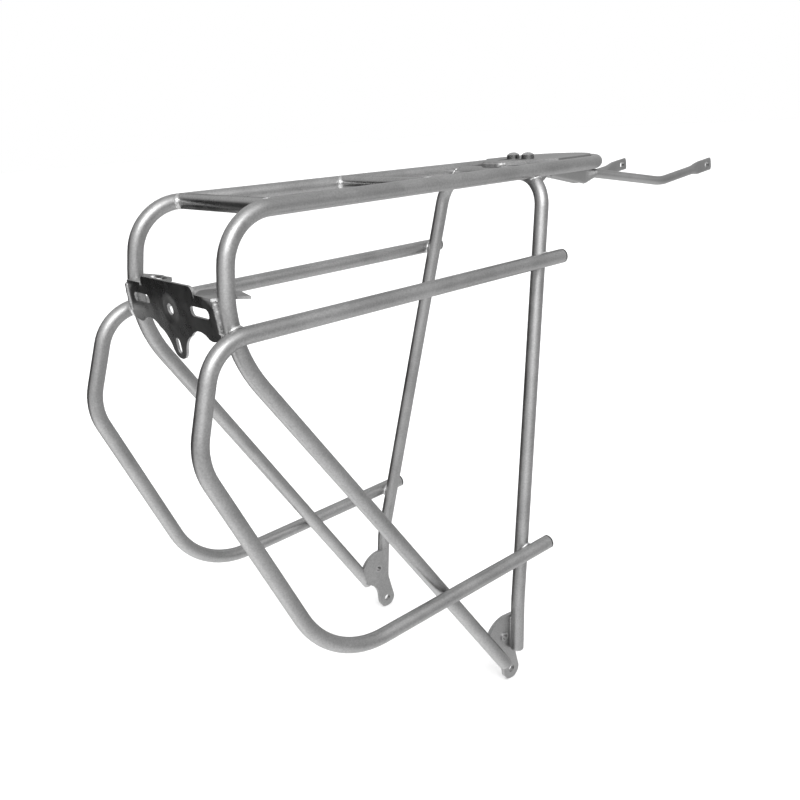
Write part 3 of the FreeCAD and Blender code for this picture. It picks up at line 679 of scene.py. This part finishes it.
def hoop_lines(leg_line, side):
    """Two beads where the bent hoop runs into the underside of the rail, one on each face."""
    rail_way = (SIDE_TUBE[0] - SIDE_TUBE[1]).normalized()
    beyond = []
    inside = []
    for degrees in spread(-HOOP_SEARCH_ANGLE, HOOP_SEARCH_ANGLE, HOOP_SEARCH_STEPS):
        angle = math.radians(degrees)
        crossings = []
        previous = None
        for index in range(0, len(leg_line), 2):
            point = leg_line[index]
            if point.z < HOOP_SEARCH_FLOOR:
                break
            forward = direction_at(leg_line, index)
            up_way = (Vector((0, 0, 1)) - forward * forward.z).normalized()
            across = forward.cross(up_way)
            skin = point + TUBE_RADIUS * (up_way * math.cos(angle) + across * math.sin(angle))
            offset = skin - rail_point(skin.x)
            gap = (offset - rail_way * offset.dot(rail_way)).length - TUBE_RADIUS
            if previous is not None and (gap > 0) != (previous > 0):
                crossings.append(skin)
            previous = gap
        if len(crossings) == 2:
            inside.append(crossings[0])
            beyond.append(crossings[1])
    return [(on_side(line, side), False, SEAM_RADIUS) for line in (inside, beyond) if len(line) > 2]


# ---------------------------------------------------------------- welds on sheet parts
DROPOUT_FACE = 76.5 * MM
SEAM_STEPS = 16
# How far off the tube's skin the middle of a seam lies.
SEAM_OFFSET = 0.1 * MM


def seam_beside(low, high, face_y, side, across_way):
    """A bead along one flank of a tube that lies on a plate."""
    run = (high - low).normalized()
    flank = Vector((run.z, 0, -run.x)).normalized() * across_way
    points = []
    for share in spread(0.0, 1.0, SEAM_STEPS):
        centre = low.lerp(high, share)
        depth = abs(centre.y) - face_y
        half_width = math.sqrt(max(TUBE_RADIUS**2 - depth**2, 0.0))
        points.append(Vector((centre.x, -face_y, centre.z)) + flank * (half_width + SEAM_OFFSET))
    return on_side(points, side)


def make_dropout_welds(material):
    """A bead beside the end of each leg and each strut, where they lap the dropout plates."""
    leg_low, leg_high = points_mm((2.3, -80.5, 20.0), (4.6, -79.8, 44.5))
    strut_low, strut_high = points_mm((-11.7, -79.85, 13.5), (-23.5, -78.6, 31.3))
    for side in SIDES:
        leg_seam = seam_beside(leg_low, leg_high, DROPOUT_FACE, side, -1)
        strut_seam = seam_beside(strut_low, strut_high, DROPOUT_FACE, side, 1)
        add_beads(side + "_leg_end_weld", [(leg_seam, False, SEAM_RADIUS)], material)
        add_beads(side + "_strut_end_weld", [(strut_seam, False, SEAM_RADIUS)], material)


# The edge of the light bracket against its post: height above its middle, and half width.
BRACKET_EDGE = ((4.5, 56.0), (-2.0, 57.0), (-9.0, 57.4), (-14.5, 57.2))
# The two fillets on it: how far forward and how far inboard they lie, and their radius.
BRACKET_FILLETS = ((0.9, 0.0, 2.0), (2.4, 1.5, 1.2))


def make_bracket_welds(material):
    """A broad fillet down each end of the light bracket, and a thinner one ahead of it."""
    tilt = math.tan(SHEET_TILT)
    for side in SIDES:
        lines = []
        for forward, inset, radius in BRACKET_FILLETS:
            points = []
            for height, half_width in BRACKET_EDGE:
                offset = Vector((forward - height * tilt, inset - half_width, height)) * MM
                points.append(BRACKET_MIDDLE + offset)
            lines.append((on_side(points, side), False, radius * MM))
        add_beads(side + "_bracket_weld", lines, material)


BOW_CENTRE = Vector((131.6, 0.0, 366.3)) * MM
BOW_STITCH_REACH = 36.2 * MM
# Where the stitches lie: angles round the bow, and stations along each rail in millimetres.
BOW_STITCHES = ((4, 16), (38, 52), (68, 80))
RAIL_STITCHES = ((107.0, 115.0), (123.0, 131.0))
RAIL_STITCH_HEIGHT = 365.9 * MM
RAIL_STITCH_INSET = 3.6 * MM
TAIL_BEAD_RADIUS = 2.2 * MM


def make_plate_welds(material):
    """Stitches between the mounting plate and the bow, and a fillet round its tail on the hoop."""
    for side, way in SIDES.items():
        for number, (start, end) in enumerate(BOW_STITCHES):
            points = []
            for degrees in spread(start, end, 6):
                angle = way * math.radians(degrees)
                outward = Vector((math.cos(angle), math.sin(angle), 0))
                points.append(BOW_CENTRE + BOW_STITCH_REACH * outward)
            name = "%s_bow_stitch_%d" % (side, number + 1)
            add_beads(name, [(points, False, SEAM_RADIUS)], material)
    tail = points_mm(
        (78.0, -10.2, 366.2),
        (73.6, -8.6, 366.2),
        (72.9, -7.2, 366.2),
        (72.9, 7.2, 366.2),
        (73.6, 8.6, 366.2),
        (78.0, 10.2, 366.2),
    )
    add_beads("tail_weld", [(tail, False, TAIL_BEAD_RADIUS)], material)
    for side, way in SIDES.items():
        for number, (start, end) in enumerate(RAIL_STITCHES):
            points = []
            for station in spread(start, end, 4):
                on_rail = rail_point(station * MM)
                inboard = way * (abs(on_rail.y) - RAIL_STITCH_INSET)
                points.append(Vector((on_rail.x, inboard, RAIL_STITCH_HEIGHT)))
            name = "%s_rail_stitch_%d" % (side, number + 1)
            add_beads(name, [(points, False, SEAM_RADIUS)], material)


# ---------------------------------------------------------------- floor and light
def make_floor():
    """A plain pale floor under the dropouts."""
    half = 12.0
    height = cad_low[2]
    mesh = bpy.data.meshes.new("floor")
    corners = [
        (-half, -half, height),
        (half, -half, height),
        (half, half, height),
        (-half, half, height),
    ]
    mesh.from_pydata(corners, [], [(0, 1, 2, 3)])
    mesh.materials.append(floor_paper("floor_paper"))
    floor = bpy.data.objects.new("floor", mesh)
    bpy.context.scene.collection.objects.link(floor)
    floor.visible_glossy = False


def heading(azimuth, elevation):
    """A unit vector from two angles in degrees."""
    turn = math.radians(azimuth)
    rise = math.radians(elevation)
    level = math.cos(rise)
    return Vector((math.cos(turn) * level, math.sin(turn) * level, math.sin(rise)))


# Brightness of the ground the camera sees, of the studio that steel reflects, and of its floor.
WHITE_LEVEL = 1.0
STUDIO_LEVEL = 0.62
FLOOR_LEVEL = 0.42
DARKEST_LEVEL = 0.03
# Patches of the studio that add light.
KEY_WAY = heading(-122, 42)
KEY_GLOW = 0.9
REAR_FLOOR_WAY = heading(170, -48)
REAR_FLOOR_GLOW = 0.35
# Patches that take light away: the far side, behind it, low down there, and ahead of the rack.
DARK_WAY = heading(114, -8)
DARK_DEPTH = 0.62
DARK_BEHIND_WAY = heading(72, -6)
DARK_BEHIND_DEPTH = 0.45
DARK_LOW_WAY = heading(92, -18)
DARK_LOW_DEPTH = 0.45
FRONT_WAY = heading(-15, -15)
FRONT_DEPTH = 0.14


def make_world():
    """White behind the object; in reflections a soft studio: pale below, bright over the
    viewer's left shoulder, and a dark opening low on the far side."""
    world = bpy.data.worlds.new("studio")
    world.use_nodes = True
    bpy.context.scene.world = world
    nodes = Nodes(world.node_tree)
    way = nodes.add("ShaderNodeTexCoord").outputs["Generated"]

    def towards(target):
        return nodes.compare("DOT_PRODUCT", way, target)

    below = nodes.ramp(towards((0, 0, -1)), 0.15, 0.95, 0.0, FLOOR_LEVEL)
    glow = nodes.ramp(towards(KEY_WAY), 0.55, 1.0, 0.0, KEY_GLOW)
    dark = nodes.ramp(towards(DARK_WAY), 0.64, 0.88, 0.0, DARK_DEPTH)
    dark_behind = nodes.ramp(towards(DARK_BEHIND_WAY), 0.75, 0.95, 0.0, DARK_BEHIND_DEPTH)
    dark = nodes.math("MAXIMUM", dark, dark_behind)
    dark_low = nodes.ramp(towards(DARK_LOW_WAY), 0.90, 0.985, 0.0, DARK_LOW_DEPTH)
    height = towards((0, 0, 1))
    dark = nodes.math("MULTIPLY", dark, nodes.ramp(height, -0.62, -0.40))
    dark = nodes.math("MULTIPLY", dark, nodes.ramp(height, 0.50, 0.20))
    dark = nodes.math("ADD", dark, dark_low)
    level = nodes.math("ADD", below, STUDIO_LEVEL)
    level = nodes.math("ADD", level, glow)
    rear_floor = nodes.ramp(towards(REAR_FLOOR_WAY), 0.60, 1.0, 0.0, REAR_FLOOR_GLOW)
    level = nodes.math("ADD", level, rear_floor)
    front = nodes.ramp(towards(FRONT_WAY), 0.30, 0.90, 0.0, FRONT_DEPTH)
    level = nodes.math("SUBTRACT", level, front)
    level = nodes.math("MAXIMUM", nodes.math("SUBTRACT", level, dark), DARKEST_LEVEL)
    seen = nodes.add("ShaderNodeLightPath").outputs["Is Camera Ray"]
    strength = nodes.blend(seen, level, WHITE_LEVEL)
    inputs = {"Color": (1.0, 1.0, 1.0, 1.0), "Strength": strength}
    background = nodes.add("ShaderNodeBackground", inputs)
    nodes.add("ShaderNodeOutputWorld", {"Surface": background.outputs[0]})


RACK_MIDDLE = Vector((0.0, 0.0, 0.2))
KEY_WIDTH = 1.5
KEY_HEIGHT = 0.9
KEY_POWER = 14.0
KEY_DISTANCE = 2.2
FILL_POWER = 2.2
FILL_SPREAD = math.radians(120)


def make_lights():
    """A soft box over the viewer's shoulder and an even overhead fill for the floor."""
    key_data = bpy.data.lights.new("key", "AREA")
    key_data.shape = "RECTANGLE"
    key_data.size = KEY_WIDTH
    key_data.size_y = KEY_HEIGHT
    key_data.energy = KEY_POWER
    key = bpy.data.objects.new("key", key_data)
    key.location = RACK_MIDDLE + KEY_WAY * KEY_DISTANCE
    key.rotation_euler = (-KEY_WAY).to_track_quat("-Z", "Y").to_euler()
    key.visible_camera = False
    fill_data = bpy.data.lights.new("fill", "SUN")
    fill_data.angle = FILL_SPREAD
    fill_data.energy = FILL_POWER
    fill = bpy.data.objects.new("fill", fill_data)
    fill.visible_glossy = False
    for light in (key, fill):
        bpy.context.scene.collection.objects.link(light)


# ---------------------------------------------------------------- build
make_camera()
finish_for_nodes()
# Painted highlight: the tube welds' grey is much lighter than the tubes' and stands in for the
# glints on their beads.
painted_highlight_weld = blasted_steel("painted_highlight_weld_steel", 0.72, 0.30, grain=0.30, smudge=0.15)
dull_weld = blasted_steel("dull_weld_steel", 0.46, 0.38, grain=0.20)
make_tube_welds(painted_highlight_weld)
make_dropout_welds(dull_weld)
make_bracket_welds(dull_weld)
make_plate_welds(dull_weld)
make_floor()
make_world()
make_lights()
bpy.context.scene.view_settings.view_transform = "Standard"
